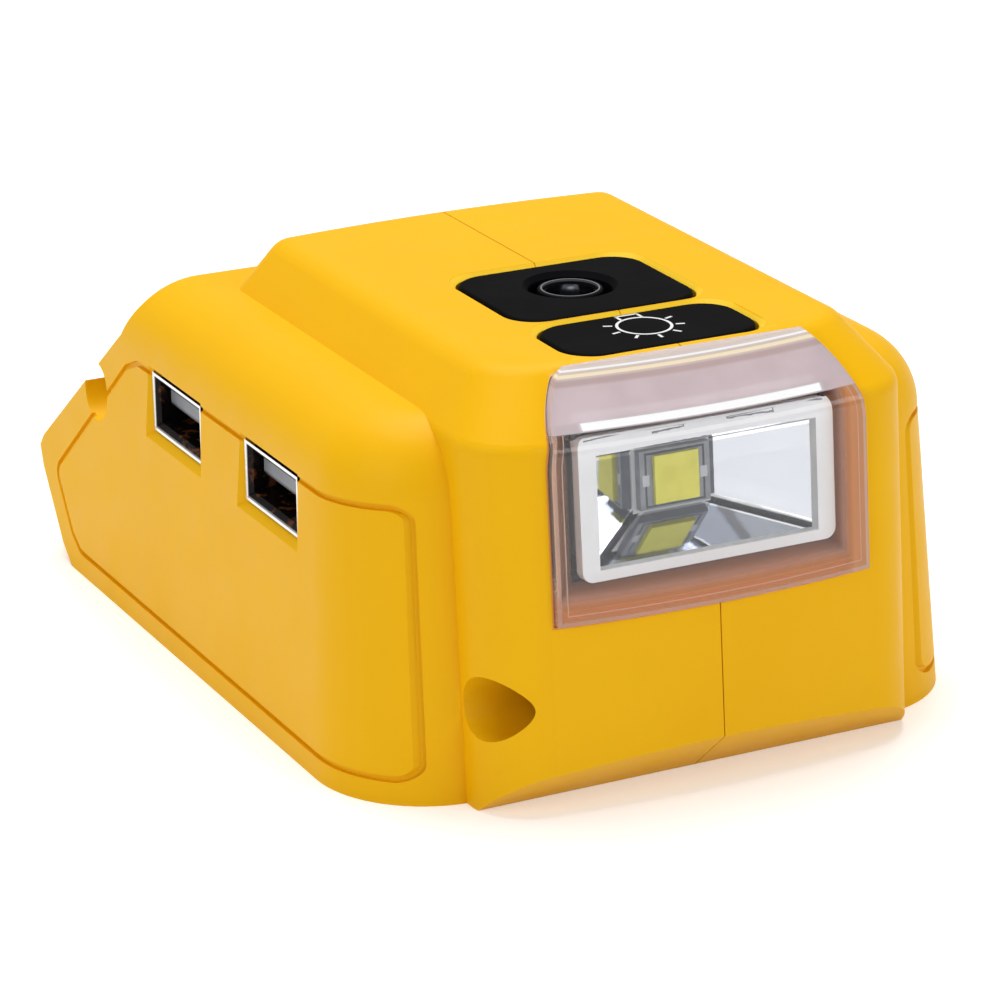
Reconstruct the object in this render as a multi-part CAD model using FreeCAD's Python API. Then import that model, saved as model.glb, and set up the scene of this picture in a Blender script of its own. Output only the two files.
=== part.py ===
import FreeCAD, Part
import math
import os

V = FreeCAD.Vector
X_AXIS, Y_AXIS, Z_AXIS = V(1, 0, 0), V(0, 1, 0), V(0, 0, 1)

# Battery adapter in millimetres. X runs to the right of the lamp side, the lamp looks along -Y, Z is up.
# The origin is on the underside, in the middle of the length and the width.

# How far cutters reach past a face, how deep joined shapes go into each other, and what counts as touching
far, over = 70.0, 1.0
bite, near = 0.5, 0.01

# Overall form
top_z = 47.4
foot_half = 38.6
rim_half = 36.8
rim_z = 33.0
shoulder_z = top_z - 6.0
shoulder_round = 8.5
wing_front_y = -44.9
wing_lean = 2.65
wing_corner = 13.4
block_half = 26.8
block_corner = 7.2
plateau_half = 21.8
plateau_corner = 6.0
front_foot_y = -54.2
front_bend_y = -50.8
front_bend_z = top_z - 6.8
front_top_y = -43.9
bow = 1.45
wall = 2.4
line_depth = 0.5
seam_width = 0.14
plateau_round = 3.3
bend_round = 2.0

# Side outline, from the back of the underside round the tail and up the back slope, as (y, z)
tail = [(42.5, 0.0), (45.6, 2.2), (52.5, 10.1), (53.7, 12.5), (52.5, 14.1)]
wing_slope = [(27.2, 34.2), (24.6, 38.6), (20.5, top_z)]
plateau_back_y, back_bow = 16.6, 2.0
block_back_y, block_back_z = 21.5, 36.0
bevel_foot_y = -47.1
bevel_far_z = 20.2

# Lined panel in each side
panel = [(-43.4, 2.5), (39.6, 2.5), (42.6, 4.2), (48.0, 10.4), (47.6, 12.0), (25.6, 31.0), (22.0, 32.5),
         (-30.0, 32.8), (-40.3, 33.3)]
panel_round = 2.0
line_width = 0.7

# Battery bay
bay_half = 29.0
bay_top = 14.5
bay_front_y = -36.0
bay_back_y = 60.0
floor_z = 17.0
rail_half = 25.0
rail_top = 4.0
rail_front_y = -28.0
rail_back_y = 44.0
strike_half = 8.0
strike_y = 31.0
strike_length = 3.0
strike_drop = 2.6

# Terminals in the bay
block_width, block_length, block_foot = 34.0, 12.0, 3.4
blade_count, blade_pitch = 4, 8.0
blade_thick, blade_height, blade_length, blade_z = 0.8, 6.0, 13.0, 5.4
lead_x, lead_y, lead_r = 6.0, -27.0, 1.1

# USB sockets
usb_ys = {"front": -16.6, "rear": 10.5}
usb_z = 28.8
usb_width, usb_height = 13.2, 5.7
usb_lip_width, usb_lip_height = 14.5, 7.1
usb_mouth_x = -36.6
usb_flare = 0.6
usb_length = 14.0
usb_metal = 0.35
port_gap = 0.2
port_bevel, port_land = 0.9, 0.2
tongue_width, tongue_thick = 11.1, 1.8
contact_width, contact_thick = 1.0, 0.3
contact_offsets = (-3.5, -1.0, 1.0, 3.5)
tongue_set_back, tongue_root, tongue_drop, contact_set_back = 1.6, 3.0, 0.1, 0.8

# Main board
board_top = usb_z - usb_height / 2
board_thick = 1.6
board_half = 31.0
board_front_y, board_back_y = -29.0, 27.0
post_x, post_ys = 27.0, (-26.0, 23.5)
post_r = 3.0
screw_r = 1.25
head_r, head_height = 2.4, 1.7

cap_r, cap_height, cap_round = 4.0, 11.0, 0.5
cap_spots = [(-13.0, 14.0), (-13.0, 4.0), (22.0, 13.0)]
coil_size, coil_height, coil_corner, coil_round, coil_x, coil_y = 13.0, 7.0, 2.0, 0.8, 5.0, 12.0
chip_width, chip_length, chip_height = 5.0, 6.0, 1.6
chip_spots = [(22.0, -4.0), (22.0, -14.0), (-13.0, -4.2)]

# Upper board with the round socket and the switch
upper_top = top_z - 13.4
upper_half = 17.5
upper_front_y, upper_back_y = -37.4, -8.0
hanger_x, hanger_ys = 14.8, (-11.5, -29.6)
hanger_r = 2.6
hanger_pin_r = 1.0
hanger_pin_length = 6.0
hanger_head_height = 1.3

# Socket plate and lamp button
plate_y, plate_width, plate_length = -19.1, 22.9, 18.7
button_y, button_width, button_length = -36.1, 23.5, 11.6
plate_corner = 4.0
plate_sink, plate_round = 0.15, 0.4
side_gap = 0.3
flange = 1.0
flange_thick = 1.2
travel = 0.6
plunger_depth = 1.2
recess_bevel = 0.55
jack_y = -17.8
jack_hole_r, jack_hole_bevel = 4.8, 0.6
jack_r, jack_shoulder = 4.5, top_z - 2.0
barrel_r, barrel_round, jack_top = 3.75, 0.3, top_z - 0.5
jack_foot, jack_foot_height = 12.0, 4.0
sleeve_r, sleeve_metal, sleeve_depth, sleeve_sink = 3.2, 0.35, 9.0, 0.5
pin_r, pin_length, pin_round = 1.05, 7.6, 0.5
switch_y, switch_size, switch_height = -33.9, 6.0, 3.6
plunger_r = 1.7
plunger_top = top_z - 8.0
stem_r = 2.2
button_wall, button_hollow_corner = 1.5, 2.0

# Lamp in the front
lens_half, lens_foot_z, lens_bend_z = 19.3, 21.1, top_z - 9.4
lens_top_half, lens_corner_half, lens_corner_z = 14.7, 18.2, top_z - 4.6
lens_back_y = -43.6
lens_gap = 0.15
lens_proud = 0.7
lens_thick = 1.3
ledge = 1.3
lamp_step_depth, lamp_step_thick = 1.2, 1.2
lamp_z = 32.8
lamp_front_y = -49.05
lamp_half, lamp_height = 15.4, 15.6
frame_side, frame_top, frame_foot, frame_corner = 2.1, 1.8, 1.2, 1.3
frame_thick = 1.4
bowl_depth = 7.0
bowl_metal = 0.6
bowl_hole_width, bowl_hole_height = 9.6, 7.6
led_width, led_height, led_thick = 8.6, 6.6, 1.0
glow_size, glow_thick = 5.4, 0.5
led_board_half, led_board_height, led_board_thick = 12.0, 14.4, 1.6

# Housing screws, driven from the left, as (y, z, depth of the pocket)
pockets = [(-47.8, 11.9, -17.0), (34.8, 25.0, -28.0)]
pocket_r = 3.6
pocket_wall = 1.6
shell_screw_r, shell_head_r, shell_head_height, shell_screw_tip = 1.5, 2.8, 2.0, 7.0
boss_r = 3.4
boss_reach = 9.0


def box(x0, x1, y0, y1, z0, z1):
    return Part.makeBox(x1 - x0, y1 - y0, z1 - z0, V(x0, y0, z0))


def rod(r, x, y, z0, z1):
    return Part.makeCylinder(r, z1 - z0, V(x, y, z0))


def cross_rod(r, y, z, x0, x1):
    return Part.makeCylinder(r, x1 - x0, V(x0, y, z), X_AXIS)


def rounded_wire(width, length, r, x, y, z):
    w, l = width / 2, length / 2
    k = r * (1 - math.sqrt(0.5))
    edges = []
    for i in range(4):
        sx, sy = ((1, 1), (-1, 1), (-1, -1), (1, -1))[i]
        a = V(x + sx * w, y + sy * (l - r), z)
        b = V(x + sx * (w - r), y + sy * l, z)
        m = V(x + sx * (w - k), y + sy * (l - k), z)
        if i % 2 == 0:
            edges.append(Part.Arc(a, m, b).toShape())
        else:
            edges.append(Part.Arc(b, m, a).toShape())
    ends = [(e.valueAt(e.FirstParameter), e.valueAt(e.LastParameter)) for e in edges]
    chain = []
    for i, edge in enumerate(edges):
        chain.append(edge)
        chain.append(Part.makeLine(ends[i][1], ends[(i + 1) % 4][0]))
    return Part.Wire(Part.__sortEdges__(chain))


def rounded_block(width, length, r, x, y, z0, z1):
    face = Part.Face(rounded_wire(width, length, r, x, y, z0))
    return face.extrude(V(0, 0, z1 - z0))


def frustum(w0, l0, z0, w1, l1, z1, r, x, y):
    a = rounded_wire(w0, l0, r, x, y, z0)
    b = rounded_wire(w1, l1, r, x, y, z1)
    return Part.makeLoft([a, b], True, True)


# A flat outline in the side view, pushed across the whole width
def side_prism(points, inset):
    pts = [V(-far, y, z) for y, z in points]
    face = Part.Face(Part.makePolygon(pts + pts[:1]))
    if inset > 0:
        face = face.makeOffset2D(-inset, 2)
        face = Part.Face(face.OuterWire)
    return face.extrude(V(2 * far, 0, 0))


# Outline of the wide lower body seen from above
def wing_wire(half, front, r, z):
    k = r * (1 - math.sqrt(0.5))
    a, b = V(-half, far, z), V(-half, front + r, z)
    c, d = V(-half + r, front, z), V(half - r, front, z)
    e, f = V(half, front + r, z), V(half, far, z)
    left = Part.Arc(b, V(-half + k, front + k, z), c).toShape()
    right = Part.Arc(d, V(half - k, front + k, z), e).toShape()
    lines = [Part.makeLine(a, b), left, Part.makeLine(c, d), right, Part.makeLine(e, f), Part.makeLine(f, a)]
    return Part.Wire(lines)


# Outline of the raised middle block seen from above, its front bowed outwards
def block_wire(half, front, r, rise, z):
    k = r * (1 - math.sqrt(0.5))
    a, b = V(-half, far, z), V(-half, front + rise + r, z)
    c, d = V(-half + r, front + rise, z), V(half - r, front + rise, z)
    e, f = V(half, front + rise + r, z), V(half, far, z)
    left = Part.Arc(b, V(-half + k, front + rise + k, z), c).toShape()
    face = Part.Arc(c, V(0, front, z), d).toShape()
    right = Part.Arc(d, V(half - k, front + rise + k, z), e).toShape()
    return Part.Wire([Part.makeLine(a, b), left, face, right, Part.makeLine(e, f), Part.makeLine(f, a)])


def wing(inset):
    lean = wing_lean / rim_z
    slope = (foot_half - rim_half) / rim_z
    top = shoulder_z - inset
    wires = []
    for z in (inset, top):
        half = foot_half - slope * z - inset
        front = wing_front_y + lean * z + inset
        wires.append(wing_wire(half, front, wing_corner - inset, z))
    body = Part.makeLoft(wires, True, True)
    rim = [e for e in edges_above(body, top) if e.BoundBox.YMin < far - over]
    body = body.makeFillet(shoulder_round - inset, rim)
    outline = [(-far, 0.0)] + tail + wing_slope + [(-far, wing_slope[-1][1])]
    return body.common(side_prism(outline, inset))


# What the bow of the block's back leaves away at both sides of its middle
def back_trim(rise, inset):
    y = block_back_y - inset
    a, b = [V(x, y - back_bow, block_back_z) for x in (-block_half, block_half)]
    edges = [Part.Arc(a, V(0, y, block_back_z), b).toShape()]
    corners = [b, V(far, b.y, b.z), V(far, far, b.z), V(-far, far, b.z), V(-far, a.y, a.z), a]
    edges.extend(Part.makeLine(corners[i], corners[i + 1]) for i in range(5))
    face = Part.Face(Part.Wire(edges))
    height = top_z - block_back_z + 2 * wall
    return face.extrude(V(0, rise * height, height))


def block(inset):
    lean = (front_bend_y - front_foot_y) / front_bend_z
    stations = [
        (inset, block_half, front_foot_y + lean * inset, block_corner),
        (front_bend_z, block_half, front_bend_y, block_corner),
        (top_z - inset, plateau_half, front_top_y, plateau_corner),
    ]
    wires = [block_wire(h - inset, y + inset, r - min(inset, r / 2), bow, z) for z, h, y, r in stations]
    lower = Part.makeLoft(wires[:2], True, True)
    upper = Part.makeLoft(wires[1:], True, True)
    rise = (plateau_back_y - block_back_y) / (top_z - block_back_z)
    outline = [
        (bevel_foot_y, 0.0),
        (block_back_y, 0.0),
        (block_back_y, block_back_z),
        (plateau_back_y + rise * 2 * wall, top_z + 2 * wall),
        (-far, top_z + 2 * wall),
        (-far, bevel_far_z),
    ]
    body = lower.fuse(upper).removeSplitter().common(side_prism(outline, inset))
    if inset >= 0:
        body = body.cut(back_trim(rise, inset))
    if inset <= 0:
        rim = edges_above(body, top_z - inset)
        corners = [e for e in body.Edges if e.BoundBox.ZMax > top_z - inset - near and e.BoundBox.YMin > 0]
        corners = [e for e in corners if e.BoundBox.ZLength > over]
        body = body.makeFillet(plateau_round - inset, rim + corners)
        flat = [e for e in body.Edges if e.BoundBox.ZLength < near]
        bend = [e for e in flat if abs(e.BoundBox.ZMin - front_bend_z) < near]
        body = body.makeFillet(bend_round - inset, bend)
    return body


def housing(inset):
    return wing(inset).fuse(block(inset))


def edges_above(shape, z):
    return [e for e in shape.Edges if e.BoundBox.ZMin > z - near]


outer = housing(0)
skin_cut = outer.cut(housing(line_depth))
inner = housing(wall)
behind = housing(lens_thick)


# Window in the front as a flat outline in the front view
def window(grow, y0, y1):
    pts = [
        V(-lens_half - grow, y0, lens_bend_z),
        V(-lens_half - grow, y0, lens_foot_z - grow),
        V(lens_half + grow, y0, lens_foot_z - grow),
        V(lens_half + grow, y0, lens_bend_z),
    ]
    top = [
        V(lens_top_half + grow, y0, top_z),
        V(lens_top_half + grow, y0, top_z + 2 * wall),
        V(-lens_top_half - grow, y0, top_z + 2 * wall),
        V(-lens_top_half - grow, y0, top_z),
    ]
    mids = [V(s * (lens_corner_half + grow), y0, lens_corner_z) for s in (1, -1)]
    edges = [Part.makeLine(pts[i], pts[i + 1]) for i in range(3)]
    edges.append(Part.Arc(pts[3], mids[0], top[0]).toShape())
    edges.extend(Part.makeLine(top[i], top[i + 1]) for i in range(3))
    edges.append(Part.Arc(top[3], mids[1], pts[0]).toShape())
    return Part.Face(Part.Wire(edges)).extrude(V(0, y1 - y0, 0))


proud = block(-lens_proud).common(box(-far, far, -far, far, 0, top_z))
lens = window(-lens_gap, -far, lens_back_y - lens_gap).common(proud).cut(behind)


# Lamp pieces are built upright and then leaned back with the front
def leaned(shape):
    angle = math.degrees(math.atan2(front_bend_y - front_foot_y, front_bend_z))
    return shape.copy().rotate(V(0, lamp_front_y, lamp_z), X_AXIS, -angle)


# Shell blank: hollow above the bay floor and in front of the bay
bay_tub = box(-far, far, bay_front_y - wall, far, -over, floor_z)
hollow = inner.cut(bay_tub)
blank = outer.cut(hollow)

# Flange behind the cover, set back round the lamp
step_in = wall + lamp_step_depth
step_room = window(wall / 2, -far, lens_back_y + wall / 2)
step_ring = inner.cut(housing(step_in + lamp_step_thick)).common(step_room)
step_ring = step_ring.cut(window(-ledge, -far, lens_back_y - ledge).cut(housing(step_in)))
lamp_hole = box(-lamp_half - side_gap, lamp_half + side_gap, -far, 0,
                lamp_z - lamp_height / 2 - side_gap, lamp_z + lamp_height / 2 + side_gap)
blank = blank.fuse(step_ring.cut(leaned(lamp_hole)))

# Bosses along X for the two housing screws, and the pockets their heads sit in
for y, z, deep_x in pockets:
    blank = blank.fuse(cross_rod(pocket_r + pocket_wall, y, z, -far, deep_x + wall).common(outer))
    blank = blank.fuse(cross_rod(boss_r, y, z, deep_x, boss_reach).common(outer))
    blank = blank.cut(cross_rod(pocket_r, y, z, -far, deep_x))
    blank = blank.cut(cross_rod(shell_screw_r, y, z, deep_x, shell_screw_tip))

# Posts for the main board and hangers for the upper board
for x in (-post_x, post_x):
    for y in post_ys:
        blank = blank.fuse(rod(post_r, x, y, floor_z - bite, board_top - board_thick))
        blank = blank.cut(rod(screw_r, x, y, floor_z + bite, board_top))
for x in (-hanger_x, hanger_x):
    for y in hanger_ys:
        blank = blank.fuse(rod(hanger_r, x, y, upper_top, top_z - wall + bite).common(outer))
        blank = blank.cut(rod(hanger_pin_r, x, y, upper_top - over, upper_top + hanger_pin_length))

# Battery bay with its two rails and the strike for the battery latch
bay = box(-bay_half, bay_half, bay_front_y, bay_back_y, rail_top, bay_top)
bay = bay.fuse(box(-rail_half, rail_half, bay_front_y, bay_back_y, -over, rail_top))
bay = bay.fuse(box(-bay_half, bay_half, bay_front_y, rail_front_y, -over, rail_top + bite))
bay = bay.fuse(box(-bay_half, bay_half, rail_back_y, bay_back_y, -over, rail_top + bite))
bay = bay.cut(box(-strike_half, strike_half, strike_y, strike_y + strike_length, bay_top - strike_drop, far))
blank = blank.cut(bay)

# Holes in the bay roof for the two battery leads
for x in (-lead_x, lead_x):
    blank = blank.cut(rod(lead_r + side_gap, x, lead_y, bay_top - over, floor_z + over))

# Front window with the ledge its cover rests on, top openings and socket mouths
blank = blank.cut(window(0, -far, lens_back_y).cut(behind))
blank = blank.cut(window(-ledge, -far, lens_back_y - ledge).cut(inner))
for y, width, length in ((plate_y, plate_width, plate_length), (button_y, button_width, button_length)):
    w, l = width + 2 * side_gap, length + 2 * side_gap
    blank = blank.cut(rounded_block(w, l, plate_corner, 0, y, top_z - 2 * wall, top_z + over))
    wide = 2 * recess_bevel
    blank = blank.cut(frustum(w, l, top_z - recess_bevel, w + wide, l + wide, top_z, plate_corner, 0, y))


def mouth(width, height, x, y):
    half_w, half_h = width / 2, height / 2
    pts = [V(x, y + sy * half_w, usb_z + sz * half_h) for sy, sz in ((-1, -1), (1, -1), (1, 1), (-1, 1))]
    return Part.makePolygon(pts + pts[:1])


def tapered(w0, h0, x0, w1, h1, x1, y):
    return Part.makeLoft([mouth(w0, h0, x0, y), mouth(w1, h1, x1, y)], True, True)


hole_w, hole_h = usb_lip_width + 2 * port_gap, usb_lip_height + 2 * port_gap
for y in usb_ys.values():
    edge_x = usb_mouth_x + port_land
    blank = blank.cut(tapered(hole_w, hole_h, usb_mouth_x - wall, hole_w, hole_h, usb_mouth_x + 2 * wall, y))
    out_x = edge_x - 2 * port_bevel
    grow = 4 * port_bevel
    blank = blank.cut(tapered(hole_w + grow, hole_h + grow, out_x, hole_w, hole_h, edge_x, y))

# Panel lines on both sides and the parting line round the middle
pts = [V(-far, y, z) for y, z in panel]
panel_face = Part.Face(Part.makePolygon(pts + pts[:1]).makeOffset2D(-panel_round, 0))
big = Part.Face(panel_face.OuterWire.makeOffset2D(panel_round, 0))
small = Part.Face(panel_face.OuterWire.makeOffset2D(panel_round - line_width, 0))
ring = big.cut(small).extrude(V(2 * far, 0, 0))
clear = box(-block_half - over, block_half + over, -far, far, -over, far)
lines = ring.cut(clear).common(skin_cut)
parting = box(-seam_width / 2, seam_width / 2, -far, far, -over, far).common(skin_cut)
blank = blank.cut(lines).cut(parting)

left_shell = blank.common(box(-far, 0, -far, far, -over, far))
right_shell = blank.common(box(0, far, -far, far, -over, far))

parts = {"left_shell": left_shell, "right_shell": right_shell, "lens_cover": lens}

# Socket plate and lamp button, each with a flange under the roof
roof_z = top_z - wall
for name, y, width, length in (
    ("jack_plate", plate_y, plate_width, plate_length),
    ("light_button", button_y, button_width, button_length),
):
    top = top_z - plate_sink
    body = rounded_block(width, length, plate_corner, 0, y, roof_z - bite, top)
    body = body.makeFillet(plate_round, edges_above(body, top))
    skirt_w, skirt_l = width + 2 * flange, length - 3 * flange
    body = body.fuse(rounded_block(skirt_w, skirt_l, plate_corner, 0, y, roof_z - flange_thick, roof_z))
    parts[name] = body
hole = rod(jack_hole_r, 0, jack_y, roof_z - 2 * wall, top_z + over)
bevel_foot = V(0, jack_y, top_z - plate_sink - jack_hole_bevel)
hole_bevel = Part.makeCone(jack_hole_r, jack_hole_r + over, over, bevel_foot)
parts["jack_plate"] = parts["jack_plate"].cut(hole).cut(hole_bevel)
w, l = button_width - 2 * button_wall, button_length - 2 * button_wall
hollow = rounded_block(w, l, button_hollow_corner, 0, button_y, roof_z - 2 * flange_thick, roof_z + bite)
stem = rod(stem_r, 0, switch_y, plunger_top, roof_z + bite)
parts["light_button"] = parts["light_button"].cut(hollow).fuse(stem)

# Round socket standing on the upper board
jack_box = box(-jack_foot / 2, jack_foot / 2, jack_y - jack_foot / 2, jack_y + jack_foot / 2,
               upper_top, upper_top + jack_foot_height)
barrel = rod(barrel_r, 0, jack_y, upper_top, jack_top)
barrel = barrel.makeFillet(barrel_round, edges_above(barrel, jack_top))
jack = jack_box.fuse(rod(jack_r, 0, jack_y, upper_top, jack_shoulder)).fuse(barrel)
sleeve_foot = jack_top - sleeve_depth
parts["dc_jack_body"] = jack.cut(rod(sleeve_r, 0, jack_y, sleeve_foot, top_z))
parts["dc_jack_sleeve"] = rod(sleeve_r, 0, jack_y, sleeve_foot, jack_top - sleeve_sink).cut(
    rod(sleeve_r - sleeve_metal, 0, jack_y, sleeve_foot, top_z))
pin = rod(pin_r, 0, jack_y, sleeve_foot, sleeve_foot + pin_length)
parts["dc_jack_pin"] = pin.makeFillet(pin_round, edges_above(pin, sleeve_foot + pin_length))

# Push switch under the lamp button
half = switch_size / 2
switch_top = upper_top + switch_height
switch = box(-half, half, switch_y - half, switch_y + half, upper_top, switch_top)
well_foot = switch_top - plunger_depth - travel - side_gap
parts["switch_body"] = switch.cut(rod(plunger_r + side_gap, 0, switch_y, well_foot, switch_top + over))
parts["switch_plunger"] = rod(plunger_r, 0, switch_y, switch_top - plunger_depth, plunger_top)

# Upper board and its screws
board = box(-upper_half, upper_half, upper_front_y, upper_back_y, upper_top - board_thick, upper_top)
screws = []
for x in (-hanger_x, hanger_x):
    for y in hanger_ys:
        board = board.cut(rod(hanger_pin_r, x, y, upper_top - 2 * board_thick, upper_top + over))
        shank = rod(hanger_pin_r, x, y, upper_top - board_thick, upper_top + hanger_pin_length)
        board_foot = upper_top - board_thick
        head = rod(2 * hanger_pin_r, x, y, board_foot - hanger_head_height, board_foot)
        screws.append(shank.fuse(head))
parts["upper_board"] = board
parts["upper_board_screws"] = Part.makeCompound(screws)

# Main board, its screws and what stands on it
board = box(-board_half, board_half, board_front_y, board_back_y, board_top - board_thick, board_top)
screws = []
for x in (-post_x, post_x):
    for y in post_ys:
        board = board.cut(rod(screw_r, x, y, floor_z, board_top + over))
        shank = rod(screw_r, x, y, floor_z + over, board_top)
        screws.append(shank.fuse(rod(head_r, x, y, board_top, board_top + head_height)))
parts["main_board"] = board
parts["main_board_screws"] = Part.makeCompound(screws)
caps = []
for x, y in cap_spots:
    can = rod(cap_r, x, y, board_top, board_top + cap_height)
    caps.append(can.makeFillet(cap_round, edges_above(can, board_top + cap_height)))
parts["capacitors"] = Part.makeCompound(caps)
coil = rounded_block(coil_size, coil_size, coil_corner, coil_x, coil_y, board_top, board_top + coil_height)
parts["coil"] = coil.makeFillet(coil_round, edges_above(coil, board_top + coil_height))
w, l = chip_width / 2, chip_length / 2
chips = [box(x - w, x + w, y - l, y + l, board_top, board_top + chip_height) for x, y in chip_spots]
parts["power_chips"] = Part.makeCompound(chips)


# A USB socket: folded metal shell with a flared lip, tongue and four contacts
back_x = usb_mouth_x + usb_length
for name, y in usb_ys.items():
    lip_x = usb_mouth_x + usb_flare
    m = 2 * usb_metal
    lip_w, lip_h, in_w, in_h = usb_lip_width, usb_lip_height, usb_width - m, usb_height - m
    flare = tapered(lip_w, lip_h, usb_mouth_x, usb_width, usb_height, lip_x, y)
    tube = tapered(usb_width, usb_height, lip_x, usb_width, usb_height, back_x, y)
    flare_in = tapered(lip_w - m, lip_h - m, usb_mouth_x, in_w, in_h, lip_x, y)
    tube_in = tapered(in_w, in_h, lip_x, in_w, in_h, back_x - usb_metal, y)
    parts["usb_shell_" + name] = flare.fuse(tube).cut(flare_in).cut(tube_in)
    w, h = in_w / 2, in_h / 2
    root_x = back_x - usb_metal - tongue_root
    tongue = box(root_x, back_x - usb_metal, y - w, y + w, usb_z - h, usb_z + h)
    tip_x = usb_mouth_x + tongue_set_back
    tongue_z = usb_z - tongue_drop
    tongue = tongue.fuse(box(tip_x, root_x, y - tongue_width / 2, y + tongue_width / 2,
                             tongue_z, tongue_z + tongue_thick))
    parts["usb_tongue_" + name] = tongue
    strips = []
    for offset in contact_offsets:
        strips.append(box(tip_x + contact_set_back, root_x, y + offset - contact_width / 2,
                          y + offset + contact_width / 2, tongue_z - contact_thick, tongue_z))
    parts["usb_contacts_" + name] = Part.makeCompound(strips)


# Lamp
def upright(width, height, y, z):
    half_w, half_h = width / 2, height / 2
    pts = [V(sx * half_w, y, z + sz * half_h) for sx, sz in ((-1, -1), (1, -1), (1, 1), (-1, 1))]
    return Part.makePolygon(pts + pts[:1])


def bowl(grow, y0, y1):
    mouth_w = 2 * (lamp_half - frame_side)
    mouth_h = lamp_height - frame_top - frame_foot
    a = upright(mouth_w + grow, mouth_h + grow, y0, lamp_z + (frame_foot - frame_top) / 2)
    b = upright(bowl_hole_width + grow, bowl_hole_height + grow, y1, lamp_z)
    return Part.makeLoft([a, b], True, True)


lamp_back_y = lamp_front_y + frame_thick + bowl_depth
full_half, full_height = lamp_half, lamp_height / 2
ring = box(-full_half, full_half, lamp_front_y, lamp_front_y + frame_thick,
           lamp_z - full_height, lamp_z + full_height)
upright_edges = [e for e in ring.Edges if e.BoundBox.YLength > frame_thick / 2]
ring = ring.makeFillet(frame_corner, upright_edges)
bowl_y = lamp_front_y + frame_thick
opening = box(-full_half + frame_side, full_half - frame_side, lamp_front_y - over, bowl_y + over,
              lamp_z - full_height + frame_foot, lamp_z + full_height - frame_top)
shine = bowl(2 * bowl_metal, bowl_y, lamp_back_y).cut(bowl(0, bowl_y, lamp_back_y))
led_board = box(-led_board_half, led_board_half, lamp_back_y, lamp_back_y + led_board_thick,
                lamp_z - led_board_height / 2, lamp_z + led_board_height / 2)
led = box(-led_width / 2, led_width / 2, lamp_back_y - led_thick, lamp_back_y,
          lamp_z - led_height / 2, lamp_z + led_height / 2)
glow = box(-glow_size / 2, glow_size / 2, lamp_back_y - led_thick - glow_thick, lamp_back_y - led_thick,
           lamp_z - glow_size / 2, lamp_z + glow_size / 2)
parts["lamp_frame"] = leaned(ring.cut(opening))
parts["reflector"] = leaned(shine)
parts["led_board"] = leaned(led_board)
parts["led_package"] = leaned(led)
parts["led_phosphor"] = leaned(glow)

# Terminal block hanging in the front of the bay, and its blades
terminal_end = bay_front_y + block_length
terminal = box(-block_width / 2, block_width / 2, bay_front_y, terminal_end, block_foot, bay_top)
blades = []
for i in range(blade_count):
    x = (i - (blade_count - 1) / 2) * blade_pitch
    blades.append(box(x - blade_thick / 2, x + blade_thick / 2, terminal_end, terminal_end + blade_length,
                      blade_z, blade_z + blade_height))
parts["terminal_block"] = terminal
parts["terminal_blades"] = Part.makeCompound(blades)
for name, x in (("battery_lead_plus", lead_x), ("battery_lead_minus", -lead_x)):
    parts[name] = rod(lead_r, x, lead_y, bay_top, board_top - board_thick)

# Housing screws
screws = []
for y, z, deep_x in pockets:
    shank = cross_rod(shell_screw_r, y, z, deep_x, shell_screw_tip)
    head = cross_rod(shell_head_r, y, z, deep_x - shell_head_height, deep_x)
    screws.append(shank.fuse(head))
parts["housing_screws"] = Part.makeCompound(screws)

os.makedirs("parts", exist_ok=True)
for name, shape in parts.items():
    shape.exportStep("parts/" + name + ".step")
    b = shape.optimalBoundingBox()
    print(name, len(shape.Solids), shape.isValid(), [round(v, 2) for v in (b.XLength, b.YLength, b.ZLength)])
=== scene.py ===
import bpy
import math
from mathutils import Matrix, Vector


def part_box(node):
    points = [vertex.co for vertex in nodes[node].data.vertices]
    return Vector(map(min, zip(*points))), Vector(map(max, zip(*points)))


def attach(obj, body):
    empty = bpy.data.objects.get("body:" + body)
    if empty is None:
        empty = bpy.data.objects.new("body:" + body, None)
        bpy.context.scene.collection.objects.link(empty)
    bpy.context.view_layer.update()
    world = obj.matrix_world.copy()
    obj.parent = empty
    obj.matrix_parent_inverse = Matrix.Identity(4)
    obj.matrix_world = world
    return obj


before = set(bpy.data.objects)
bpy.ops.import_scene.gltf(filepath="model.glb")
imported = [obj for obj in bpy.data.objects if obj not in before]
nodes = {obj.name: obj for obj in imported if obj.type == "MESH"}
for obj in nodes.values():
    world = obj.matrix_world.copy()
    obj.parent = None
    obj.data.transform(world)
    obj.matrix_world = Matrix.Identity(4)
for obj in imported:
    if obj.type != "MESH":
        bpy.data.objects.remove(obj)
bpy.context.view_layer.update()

# Blender takes metres, and the part is dimensioned in mm
MM = 0.001

# Noise scales, per metre: patches of colour, patches of gloss, and the fine grain
PATCH, GLOSS, GRAIN = 45, 170, 2500
# Heights of the grain
COARSE, FINE = 0.012 * MM, 0.008 * MM
# Width over which a drawn band fades out
SOFT = 0.05 * MM
# Parts of a noise's range over which colour and gloss go from one value to the other
CLOUD_RANGE, GLOSS_RANGE = (0.35, 0.65), (0.3, 0.7)


# Colours are written as they look on a screen, 0 to 255
def rgb(r, g, b):
    out = []
    for v in (r, g, b):
        v = v / 255
        out.append(v / 12.92 if v <= 0.04045 else ((v + 0.055) / 1.055) ** 2.4)
    return (*out, 1.0)


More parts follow.
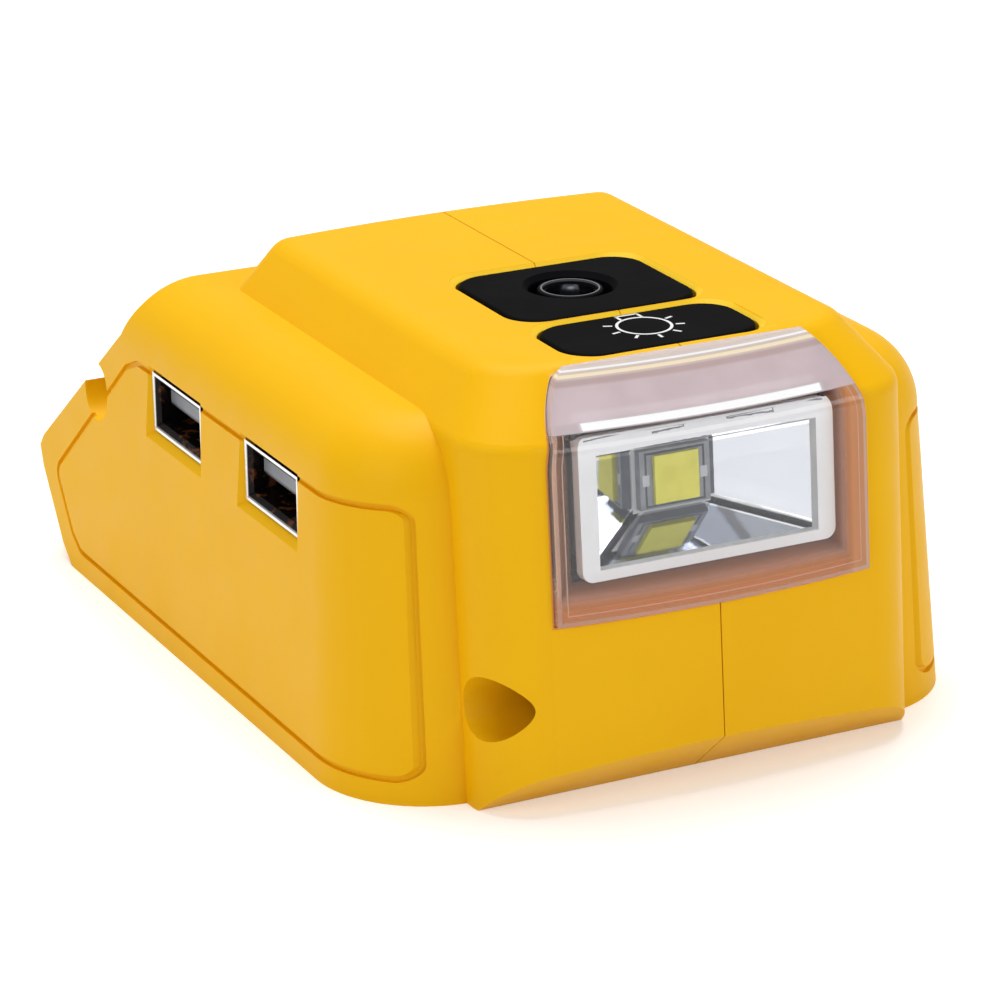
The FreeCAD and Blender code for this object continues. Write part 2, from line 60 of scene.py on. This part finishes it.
# A node tree, where each call adds nodes and returns their result
class Tree:
    def __init__(self, tree):
        self.tree = tree

    def put(self, socket, value):
        if isinstance(value, bpy.types.NodeSocket):
            self.tree.links.new(value, socket)
        else:
            socket.default_value = value

    def add(self, kind, **inputs):
        node = self.tree.nodes.new(kind)
        for key, value in inputs.items():
            self.put(node.inputs[key.replace("_", " ")], value)
        return node

    # Goes from c to d while the value goes from a to b, and stays level outside that
    def span(self, value, a, b, c=0.0, d=1.0):
        node = self.tree.nodes.new("ShaderNodeMapRange")
        for i, v in enumerate((value, a, b, c, d)):
            self.put(node.inputs[i], v)
        return node.outputs["Result"]

    def math(self, operation, first, *others):
        for other in others or (0.0,):
            node = self.tree.nodes.new("ShaderNodeMath")
            node.operation = operation
            self.put(node.inputs[0], first)
            self.put(node.inputs[1], other)
            first = node.outputs["Value"]
        return first

    def plus(self, *values):
        return self.math("ADD", *values)

    def less(self, *values):
        return self.math("SUBTRACT", *values)

    def times(self, *values):
        return self.math("MULTIPLY", *values)

    def most(self, *values):
        return self.math("MAXIMUM", *values)

    def least(self, *values):
        return self.math("MINIMUM", *values)

    def unsigned(self, value):
        return self.math("ABSOLUTE", value)

    def radius(self, a, b):
        return self.math("SQRT", self.plus(self.times(a, a), self.times(b, b)))

    # Rays from the camera, through the clear cover and off a shiny surface
    def rays(self):
        path = self.add("ShaderNodeLightPath")
        kinds = ("Is Camera Ray", "Is Transmission Ray", "Is Glossy Ray")
        return [path.outputs[kind] for kind in kinds]


# A material, with its patterns laid in the part's own coordinates, in metres
class Surface(Tree):
    def __init__(self, name):
        self.mat = bpy.data.materials.new(name)
        self.mat.use_nodes = True
        super().__init__(self.mat.node_tree)
        self.shader = self.tree.nodes["Principled BSDF"]
        self.coords = self.add("ShaderNodeTexCoord").outputs["Object"]

    def set(self, **inputs):
        for key, value in inputs.items():
            self.put(self.shader.inputs[key.replace("_", " ")], value)

    def xyz(self):
        split = self.add("ShaderNodeSeparateXYZ", Vector=self.coords)
        return [split.outputs[axis] for axis in "XYZ"]

    def noise(self, scale, detail=3.0):
        node = self.add("ShaderNodeTexNoise", Vector=self.coords, Scale=scale, Detail=detail)
        return node.outputs["Fac"]

    def mix(self, share, a, b):
        node = self.tree.nodes.new("ShaderNodeMix")
        node.data_type = "RGBA"
        self.put(node.inputs["Factor"], share)
        self.put(node.inputs["A"], a)
        self.put(node.inputs["B"], b)
        return node.outputs["Result"]

    # 1 where the value is within half a width of the middle, and 0 away from it
    def band(self, value, middle, half, soft=SOFT):
        away = self.unsigned(self.less(value, middle))
        return self.span(away, half, half + soft, 1.0, 0.0)

    # Two close colours in soft patches
    def cloud(self, a, b, scale=PATCH):
        return self.mix(self.span(self.noise(scale), *CLOUD_RANGE), a, b)

    # Roughness that varies a little over the surface
    def gloss(self, smooth, rough, scale=GLOSS):
        self.set(Roughness=self.span(self.noise(scale), *GLOSS_RANGE, smooth, rough))

    def grain(self, height, scale=GRAIN):
        pits = self.noise(scale, 2.0)
        bump = self.add("ShaderNodeBump", Height=pits, Distance=height, Strength=1.0)
        self.set(Normal=bump.outputs["Normal"])


# Plain moulded or metal surface: two close colours in patches, uneven gloss and fine grain
def surface(name, light, dark, rough, grain=GRAIN, metal=0.0, patch=PATCH, **more):
    smoother, rougher, gloss_to_patch = 0.04, 0.05, 3.7
    n = Surface(name)
    n.set(Base_Color=n.cloud(light, dark, patch), Metallic=metal, **more)
    n.gloss(rough - smoother, rough + rougher, patch * gloss_to_patch)
    n.grain(COARSE, grain)
    return n.mat


black = surface("black_plastic", rgb(15, 15, 17), rgb(11, 11, 13), 0.55, Specular_IOR_Level=0.02)
dark = surface("dark_plastic", rgb(30, 30, 31), rgb(24, 24, 25), 0.5)
white = surface("plunger_plastic", rgb(238, 238, 240), rgb(230, 230, 233), 0.35)
steel = surface("pin_steel", rgb(138, 138, 142), rgb(120, 120, 124), 0.35, metal=1.0)
chrome = surface(
    "bright_sleeve", rgb(180, 182, 188), rgb(168, 170, 176), 0.12, grain=400, metal=1.0
)
gold = surface("contact_metal", rgb(214, 178, 100), rgb(196, 158, 84), 0.3, metal=1.0)
glow = surface("phosphor", rgb(246, 240, 92), rgb(232, 224, 72), 0.5, patch=400)
board_metal = surface("lamp_board", rgb(224, 226, 226), rgb(206, 208, 210), 0.4)
board = surface("board_green", rgb(30, 92, 50), rgb(24, 80, 42), 0.35)
can = surface("can_aluminium", rgb(200, 202, 205), rgb(184, 186, 190), 0.32, metal=1.0)
screw = surface("screw_steel", rgb(96, 92, 86), rgb(80, 76, 72), 0.38, metal=1.0)
red = surface("red_lead", rgb(176, 34, 28), rgb(160, 28, 24), 0.4)
icon_white = surface("icon_print", rgb(240, 240, 240), rgb(228, 228, 228), 0.55)


# Folded sheet of a socket: bright on its lip, and further in painted shade, dark with brown flecks
def socket_metal(name, node):
    lip_end, dark_from = 0.03 * MM, 0.15 * MM
    fleck_scale, fleck_range = 700, (0.56, 0.66)
    n = Surface(name)
    x, _, _ = n.xyz()
    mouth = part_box(node)[0].x
    # Painted shade: past the lip the sheet turns dark and stops being metal
    deep = n.span(x, mouth + lip_end, mouth + dark_from)
    # The brown flecks in the dark are painted reflection of the yellow housing
    reflection_flecks = n.span(n.noise(fleck_scale), *fleck_range)
    shaded_inside = n.mix(reflection_flecks, rgb(17, 13, 12), rgb(96, 54, 30))
    n.set(Base_Color=n.mix(deep, rgb(226, 226, 228), shaded_inside), Specular_IOR_Level=0.1)
    n.set(Metallic=n.less(1.0, deep))
    n.gloss(0.22, 0.3)
    n.grain(FINE)
    return n.mat


# Socket tongue: grey, in shade along its lower half
def socket_tongue():
    shade_edge = 0.3 * MM
    n = Surface("socket_tongue")
    _, _, z = n.xyz()
    low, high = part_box("usb_tongue_front")
    middle = (low.z + high.z) / 2
    grey = n.cloud(rgb(134, 137, 143), rgb(120, 123, 129), scale=GLOSS)
    upper = n.span(z, middle, middle + shade_edge)
    n.set(Base_Color=n.mix(upper, rgb(26, 22, 21), grey), Roughness=0.4)
    n.grain(FINE)
    return n.mat


# Body of the round socket: black, with a painted highlight, a light line round the rim of its tube
def socket_body():
    rim_out, rim_half, rim_depth, rim_fade = 0.08 * MM, 0.06 * MM, 0.2 * MM, 0.1 * MM
    n = Surface("socket_body")
    x, y, z = n.xyz()
    low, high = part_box("dc_jack_sleeve")
    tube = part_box("dc_jack_body")[1].z
    out = n.radius(x, n.less(y, (low.y + high.y) / 2))
    top = n.span(z, tube - rim_depth - rim_fade, tube - rim_depth)
    # Painted highlight: a thin light line round the top of the tube, just outside the sleeve
    rim = n.times(n.band(out, high.x + rim_out, rim_half), top)
    black = n.cloud(rgb(14, 14, 16), rgb(10, 10, 12))
    n.set(Base_Color=n.mix(rim, black, rgb(128, 128, 132)))
    n.set(Roughness=0.5, Specular_IOR_Level=0.05)
    n.grain(FINE)
    return n.mat


# Reflector: bright, with painted shade darkening its four creases and a painted highlight, a light
# line, beside each
def reflector_metal():
    # Planes of its walls, with x counted from the middle to either side: the normal, and the
    # distance from the origin along it in mm
    side_wall = (-0.636, -0.769, 0.064, 30.31)
    foot_wall = (0, -0.293, 0.956, 39.07)
    roof_wall = (0, -0.378, -0.926, -17.94)
    shade_width, shade_end, highlight_out, highlight_half = 0.35 * MM, 0.5 * MM, 0.65 * MM, 0.15 * MM
    n = Surface("chrome_layer")
    x, y, z = n.xyz()
    x = n.unsigned(x)

    def off(a, b, c, d):
        return n.plus(n.times(x, a), n.times(y, b), n.times(z, c), -d * MM)

    crease = n.plus(off(*side_wall), n.least(off(*foot_wall), off(*roof_wall)))
    colour = n.cloud(rgb(213, 216, 222), rgb(203, 206, 213))
    # Painted highlight: a light line a little way out from each crease
    colour = n.mix(n.band(crease, highlight_out, highlight_half), colour, rgb(252, 253, 255))
    # Painted shade: each crease darkened
    colour = n.mix(n.span(crease, shade_width, shade_end, 1.0, 0.0), colour, rgb(60, 64, 74))
    n.set(Base_Color=colour, Metallic=1.0)
    n.gloss(0.03, 0.1)
    n.grain(COARSE, scale=400)
    return n.mat


# Outline of the clear cover: how far its bend is below its top, and by how much each side draws
# in above the bend, both in mm, the second as a share of the squared height
cover_bend, cover_narrowing = 9.4, 0.052


# Distances in front of the lamp: above its frame, out from its frame, and in from the outline
# of the clear cover
def lamp_distances(n):
    x, y, z = n.xyz()
    x = n.unsigned(x)
    frame_low, frame_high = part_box("lamp_frame")
    low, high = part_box("lens_cover")
    above = n.less(z, frame_high.z)
    away = n.most(above, n.less(x, frame_high.x), n.less(frame_low.z, z))
    past_bend = n.most(n.less(z, high.z - cover_bend * MM), 0.0)
    narrowing = n.times(past_bend, past_bend, cover_narrowing / MM)
    side = n.less(high.x, narrowing, x)
    inside = n.least(side, n.less(z, low.z), n.less(high.y, y))
    return above, away, inside


# Housing: yellow, with a painted highlight making it paler on the bevels round the two top pieces,
# and painted shade making it browner in the room behind the clear cover
def housing_plastic():
    room_from, room_full = -0.4 * MM, -0.3 * MM
    brown_out, upper_from, upper_full = 3.6 * MM, 1.0 * MM, 3.0 * MM
    bevel_front, bevel_back = 0.3 * MM, 0.9 * MM
    bevel_down, bevel_half, bevel_soft = 0.3 * MM, 0.4 * MM, 0.03 * MM
    n = Surface("yellow_plastic")
    above, away, inside = lamp_distances(n)
    room = n.span(inside, room_from, room_full)
    x, y, z = n.xyz()
    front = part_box("light_button")[0].y - bevel_front
    side, plate_back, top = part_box("jack_plate")[1]
    back = plate_back + bevel_back
    bevel = n.times(
        n.band(x, 0.0, side),
        n.band(y, (front + back) / 2, (back - front) / 2),
        n.band(z, top - bevel_down, bevel_half, bevel_soft),
    )
    # Painted shade in the room behind the cover: dark brown beside the lamp frame, warmer further
    # out, and paler above the frame
    walls = n.mix(n.span(away, 0.0, brown_out), rgb(84, 54, 40), rgb(226, 146, 66))
    walls = n.mix(n.span(above, upper_from, upper_full), walls, rgb(232, 196, 160))
    # Painted highlight: the bevels round the two top pieces paler
    colour = n.mix(bevel, n.cloud(rgb(247, 188, 9), rgb(245, 185, 7)), rgb(255, 208, 48))
    n.set(Base_Color=n.mix(room, colour, walls), Specular_IOR_Level=0.12)
    n.gloss(0.4, 0.5)
    n.grain(COARSE)
    return n.mat


# Clear cover, with light painted into it: a warm tint of painted light below and right of the
# lamp, cloudy painted reflection in its slope, pale painted highlights along the rim and in a fine
# line inside it, light and dark streaks of painted reflection below the top edge and a white band
# of painted highlight along the bend
def clear_cover():
    rim_width, rim_fade = 0.4 * MM, 0.1 * MM
    step_in, step_half = 1.15 * MM, 0.03 * MM
    slope_from, slope_full = 1.15 * MM, 1.25 * MM
    top_from, top_full = 5.6 * MM, 5.8 * MM
    warm_low, warm_high, warm_side_from, warm_side_full = -1.6 * MM, -0.2 * MM, -0.2 * MM, 1.8 * MM
    warm_side, warm_below = 0.45, 0.3
    # How strongly each tint shows, and how much clearness each pattern takes away
    rim_tint, shade_tint, streak_tint = 0.6, 0.6, 0.9
    rim_haze, step_haze, slope_haze = 0.2, 0.5, 0.62
    n = Surface("clear_cover")
    above, _, inside = lamp_distances(n)
    x, _, z = n.xyz()

    # A level band at a height above the lamp's frame, in mm
    def level(height, half, soft):
        return n.band(above, height * MM, half * MM, soft * MM)

    # Painted highlight: a pale band just inside the outline of the cover
    rim = n.span(inside, rim_width, rim_width + rim_fade, 1.0, 0.0)
    slope = n.span(above, slope_from, slope_full)
    # Painted highlight: a fine pale line inside the rim, below the slope
    step = n.times(n.band(inside, step_in, step_half), n.less(1.0, slope))
    # Painted reflections below the top edge: a dark streak, then a cream and a light one
    shade = level(height=5.35, half=0.15, soft=0.25)
    cream = n.times(level(height=5.95, half=0.12, soft=0.2), streak_tint)
    light = n.times(level(height=6.42, half=0.06, soft=0.14), streak_tint)
    # Painted highlight: a white band along the bend, over most of the width
    along = n.band(x, middle=-0.5 * MM, half=14.4 * MM, soft=0.5 * MM)
    bend_highlight = n.times(level(height=1.65, half=0.3, soft=0.15), along)
    frame_low, frame_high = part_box("lamp_frame")
    # Painted light: a warm tint right of the lamp frame and below it, for the lit walls behind the
    # cover
    right = n.span(
        x, frame_high.x + warm_side_from, frame_high.x + warm_side_full, 0.0, warm_side
    )
    below = n.span(z, frame_low.z + warm_low, frame_low.z + warm_high, warm_below, 0.0)
    warm_light = n.most(right, below)

    # Painted reflection: the cloudy veil over the slope, with its streaks and a paler top
    slope_reflection = n.cloud(rgb(238, 221, 226), rgb(232, 214, 219), scale=260)
    slope_reflection = n.mix(n.times(shade, shade_tint), slope_reflection, rgb(206, 178, 170))
    slope_reflection = n.mix(n.span(above, top_from, top_full), slope_reflection, rgb(248, 232, 224))
    colour = n.mix(n.span(warm_light, 0.0, warm_below), rgb(253, 253, 253), rgb(246, 180, 122))
    colour = n.mix(n.times(rim, rim_tint), colour, rgb(250, 232, 224))
    colour = n.mix(slope, colour, slope_reflection)
    colour = n.mix(n.most(light, bend_highlight), colour, rgb(255, 255, 255))
    colour = n.mix(cream, colour, rgb(255, 238, 206))
    n.set(Base_Color=n.mix(step, colour, rgb(244, 214, 198)))
    lines = n.most(n.times(rim, rim_haze), n.times(step, step_haze))
    haze = n.most(n.times(slope, slope_haze), lines, n.most(cream, light, bend_highlight), warm_light)
    n.set(Transmission_Weight=n.less(1.0, haze), IOR=1.45, Specular_IOR_Level=0.2)
    n.set(Roughness=n.span(rim, 0.0, 1.0, 0.02, 0.08))
    n.grain(height=0.003 * MM, scale=900)
    return n.mat


# Lamp frame: white, with the outlines of its clips along the top border
def lamp_frame():
    # In mm: how far below the top the clips' upper and lower lines start, and the lines' width
    upper, lower, line = 0.45, 1.0, 0.08
    # Each line as (from x, to x, from depth, to depth)
    level = [(a, b, upper, upper + line) for a, b in ((-14.6, -2.5), (2.7, 8.4), (9.0, 14.4))]
    level += [(a, b, lower, lower + line) for a, b in ((-6.4, -2.5), (2.7, 8.4))]
    upright = [(x, x + line, upper, lower + line) for x in (-2.58, 2.7, 8.32)]
    n = Surface("white_plastic")
    x, _, z = n.xyz()
    drop = n.less(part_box("lamp_frame")[1].z, z)
    lines = 0.0
    for x0, x1, d0, d1 in level + upright:
        across = n.band(x, (x0 + x1) / 2 * MM, (x1 - x0) / 2 * MM)
        down = n.band(drop, (d0 + d1) / 2 * MM, (d1 - d0) / 2 * MM)
        lines = n.most(lines, n.times(across, down))
    plain = n.cloud(rgb(252, 253, 255), rgb(247, 248, 252))
    n.set(Base_Color=n.mix(lines, plain, rgb(120, 122, 128)), Roughness=0.35)
    n.grain(FINE)
    return n.mat


# LED package: grey body, a dark track round the glowing square and a pad at each side of it
def led_package():
    track_x, track_z, track_half = 3.55 * MM, 2.95 * MM, 0.1 * MM
    pad_half_x, pad_half_z = 0.4 * MM, 0.6 * MM
    n = Surface("led_package")
    x, _, z = n.xyz()
    low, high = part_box("led_package")
    u = n.unsigned(x)
    v = n.unsigned(n.less(z, (low.z + high.z) / 2))
    track = n.band(n.most(n.less(u, track_x), n.less(v, track_z)), 0.0, track_half)
    pad = n.times(n.band(u, track_x, pad_half_x), n.band(v, 0.0, pad_half_z))
    body = n.cloud(rgb(150, 154, 162), rgb(136, 140, 148), scale=600)
    colour = n.mix(track, body, rgb(52, 60, 74))
    n.set(Base_Color=n.mix(pad, colour, rgb(196, 202, 208)), Roughness=0.45)
    n.grain(FINE)
    return n.mat


yellow = housing_plastic()
clear = clear_cover()
socket_steel = socket_metal("socket_steel", "usb_shell_front")
ceramic = led_package()
frame_white = lamp_frame()
tongue = socket_tongue()
jack_black = socket_body()
reflector = reflector_metal()

finish = {
    yellow: ("left_shell", "right_shell"),
    black: ("jack_plate", "light_button"),
    dark: ("switch_body", "coil", "power_chips", "terminal_block", "battery_lead_minus"),
    white: ("switch_plunger",),
    frame_white: ("lamp_frame",),
    clear: ("lens_cover",),
    chrome: ("dc_jack_sleeve",),
    reflector: ("reflector",),
    jack_black: ("dc_jack_body",),
    steel: ("dc_jack_pin",),
    socket_steel: ("usb_shell_front", "usb_shell_rear"),
    tongue: ("usb_tongue_front", "usb_tongue_rear"),
    gold: ("usb_contacts_front", "usb_contacts_rear", "terminal_blades"),
    ceramic: ("led_package",),
    glow: ("led_phosphor",),
    board_metal: ("led_board",),
    board: ("main_board", "upper_board"),
    can: ("capacitors",),
    screw: ("housing_screws", "main_board_screws", "upper_board_screws"),
    red: ("battery_lead_plus",),
}
for material, names in finish.items():
    for name in names:
        data = nodes[name].data
        data.materials.clear()
        data.materials.append(material)

# A small round on the sharp edges of three moulded pieces, which catches the light, in mm
for name, width in (("lamp_frame", 0.25), ("led_package", 0.12), ("terminal_block", 0.3)):
    mod = nodes[name].modifiers.new("soft_edges", "BEVEL")
    mod.width = width * MM
    mod.segments = 2
    mod.limit_method = "ANGLE"
    mod.angle_limit = math.radians(35)

# The cover rests on its ledge: a hair of room keeps the two surfaces apart
hair_gap = 0.03 * MM
hair = nodes["lens_cover"].modifiers.new("hair_gap", "DISPLACE")
hair.strength = -hair_gap
hair.mid_level = 0.0


def mesh_piece(name, verts, faces, material, body):
    data = bpy.data.meshes.new(name)
    data.from_pydata([Vector(v) * MM for v in verts], [], faces)
    data.materials.append(material)
    obj = bpy.data.objects.new(name, data)
    bpy.context.scene.collection.objects.link(obj)
    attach(obj, body)


# A printed line: a flat ribbon of even width laid along points in the button's face
def ribbon(points, width, z, closed=False):
    verts, faces = [], []
    n = len(points)
    for i, p in enumerate(points):
        a = points[(i - 1) % n] if closed or i else p
        b = points[(i + 1) % n] if closed or i < n - 1 else p
        d = Vector((b[0] - a[0], b[1] - a[1])).normalized()
        side = Vector((-d.y, d.x)) * (width / 2)
        for s in (1, -1):
            verts.append((p[0] + s * side.x, p[1] + s * side.y, z))
    for i in range(n if closed else n - 1):
        j = (i + 1) % n
        faces.append((2 * i, 2 * i + 1, 2 * j + 1, 2 * j))
    return verts, faces


# Lamp sign on the button, in mm: a round bulb with a cap above it and rays round the rest
icon_x, icon_y = 0.0, -35.2
bulb_r, line_w, bulb_steps = 3.0, 0.34, 48
cap_x, cap_y, cap_foot = 0.43 * bulb_r, icon_y + 1.4 * bulb_r, icon_y + 0.93 * bulb_r
ray_in, ray_out = 1.16 * bulb_r, 1.5 * bulb_r
ray_count, first_ray, ray_step = 7, 155, 37.5
print_height = 0.02
print_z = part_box("light_button")[1][2] / MM + print_height
verts, faces = [], []


def draw(points, closed=False):
    v, f = ribbon(points, line_w, print_z, closed)
    start = len(verts)
    verts.extend(v)
    faces.extend(tuple(i + start for i in q) for q in f)


# Points of the sign at distances from the bulb's middle, in one direction
def spoke(angle, *distances):
    c, s = math.cos(angle), math.sin(angle)
    return [(icon_x + d * c, icon_y + d * s) for d in distances]


bulb = []
for i in range(bulb_steps):
    bulb += spoke(2 * math.pi * i / bulb_steps, bulb_r)
draw(bulb, closed=True)
for x in (icon_x + cap_x, icon_x - cap_x):
    draw([(x, cap_foot), (x, cap_y)])
draw([(icon_x - cap_x - line_w / 2, cap_y), (icon_x + cap_x + line_w / 2, cap_y)])
for i in range(ray_count):
    draw(spoke(math.radians(first_ray + ray_step * i), ray_in, ray_out))
mesh_piece("lamp_icon", verts, faces, icon_white, "lamp_button")


# Place in mm, angles in degrees, and the focal length in pixels of a picture 1000 wide
def camera(place, azimuth, elevation, roll, focal):
    sensor, picture, nearest = 36, 1000, 0.01
    a, e, r = (math.radians(v) for v in (azimuth, elevation, roll))
    back = Vector((math.sin(a) * math.cos(e), -math.cos(a) * math.cos(e), math.sin(e)))
    right = Vector((math.cos(a), math.sin(a), 0))
    up = back.cross(right)
    x = right * math.cos(r) + up * math.sin(r)
    y = up * math.cos(r) - right * math.sin(r)
    data = bpy.data.cameras.new("camera")
    data.sensor_width = sensor
    data.lens = focal * sensor / picture
    data.clip_start = nearest
    obj = bpy.data.objects.new("camera", data)
    turn = Matrix((x, y, back)).transposed().to_4x4()
    obj.matrix_world = Matrix.Translation(Vector(place) * MM) @ turn
    bpy.context.scene.collection.objects.link(obj)
    bpy.context.scene.camera = obj


# The photo's camera, as solved from it
camera(
    place=(-205.99, -414.19, 184.60),
    azimuth=-26.419,
    elevation=20.050,
    roll=-0.579,
    focal=4163.4,
)


# White floor. It glows for the rays that see it, more with distance, so that its far end
# meets the background
def floor_piece():
    half_size, patch = 3.0, 3
    glow_from, glow_full, near_glow, far_glow = 0.2, 0.8, 0.3, 0.72
    corners = [(half_size * i, half_size * j, 0) for i, j in ((-1, -1), (1, -1), (1, 1), (-1, 1))]
    data = bpy.data.meshes.new("floor")
    data.from_pydata(corners, [], [(0, 1, 2, 3)])
    n = Surface("floor")
    n.set(Base_Color=n.mix(n.noise(patch), rgb(250, 250, 250), rgb(247, 247, 247)))
    x, y, _ = n.xyz()
    fill = n.span(n.radius(x, y), glow_from, glow_full, near_glow, far_glow)
    glow = n.times(n.most(*n.rays()), fill)
    n.set(Roughness=0.9, Emission_Color=(1, 1, 1, 1), Emission_Strength=glow)
    data.materials.append(n.mat)
    obj = bpy.data.objects.new("floor", data)
    bpy.context.scene.collection.objects.link(obj)


# Place, target and size in metres, power in watts
def area_light(name, place, target, size, power):
    data = bpy.data.lights.new(name, "AREA")
    data.shape = "RECTANGLE"
    data.size, data.size_y = size
    data.energy = power
    obj = bpy.data.objects.new(name, data)
    obj.location = place
    obj.rotation_euler = (Vector(target) - Vector(place)).to_track_quat("-Z", "Y").to_euler()
    bpy.context.scene.collection.objects.link(obj)


# White background: full for the camera, less through the clear cover and in reflections, and
# least for the light that it gives the part
def white_world():
    through_share, glossy_share, light_level = 0.8, 0.15, 0.29
    world = bpy.data.worlds.new("world")
    world.use_nodes = True
    bpy.context.scene.world = world
    n = Tree(world.node_tree)
    seen, through, glossy = n.rays()
    seen = n.most(seen, n.times(through, through_share), n.times(glossy, glossy_share))
    background = n.tree.nodes["Background"]
    n.put(background.inputs["Color"], (1, 1, 1, 1))
    n.put(background.inputs["Strength"], n.span(seen, 0.0, 1.0, light_level, 1.0))


floor_piece()
area_light("top_light", (0.05, 0.25, 0.9), (0, 0, 0.02), (0.7, 0.7), power=7.3)
area_light("left_light", (-0.8, -0.25, 0.45), (0, 0, 0.02), (0.6, 0.6), power=2.0)
area_light("front_light", (0.37, -0.72, 0.38), (0, 0, 0.03), (0.7, 0.25), power=1.8)
white_world()
bpy.context.scene.view_settings.view_transform = "Standard"
